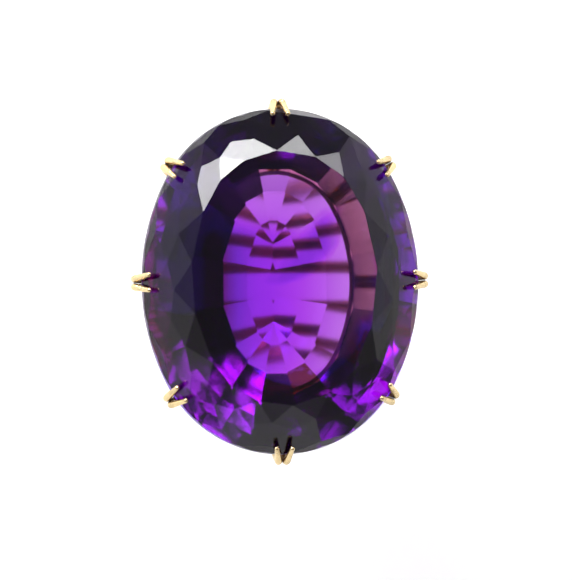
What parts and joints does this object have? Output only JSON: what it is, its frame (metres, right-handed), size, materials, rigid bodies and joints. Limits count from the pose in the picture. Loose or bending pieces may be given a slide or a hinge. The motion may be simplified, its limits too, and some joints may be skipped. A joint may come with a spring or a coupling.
{
  "type": "cocktail ring",
  "caption": "Cocktail ring with a large oval faceted purple stone held by pairs of splayed gold claw wires over an open wire basket on a shank of two round wires.",
  "frame": {"origin": "centre of the finger hole, midway between the two wires of the shank", "axes": "+Y along the finger and the stone's long axis, +Z from the finger up through the stone's table, +X across the finger"},
  "size_m": [0.0302, 0.037, 0.0357],
  "materials": {
    "amethyst": "polished facets, transparent deep purple",
    "gold": "polished yellow gold"
  },
  "bodies": {
    "root": {"amethyst": "amethyst", "bearing_rail": "gold", "gallery_rail": "gold", "base_rail": "gold", "shank_wire_front": "gold", "shank_wire_back": "gold", "claw_1_left": "gold", "claw_1_right": "gold", "claw_2_left": "gold", "claw_2_right": "gold", "claw_3_left": "gold", "claw_3_right": "gold", "claw_4_left": "gold", "claw_4_right": "gold", "claw_5_left": "gold", "claw_5_right": "gold", "claw_6_left": "gold", "claw_6_right": "gold", "claw_7_left": "gold", "claw_7_right": "gold", "claw_8_left": "gold", "claw_8_right": "gold", "shoulder_wire_front_left": "gold", "shoulder_wire_front_right": "gold", "shoulder_wire_back_left": "gold", "shoulder_wire_back_right": "gold"}
  },
  "joints": []
}
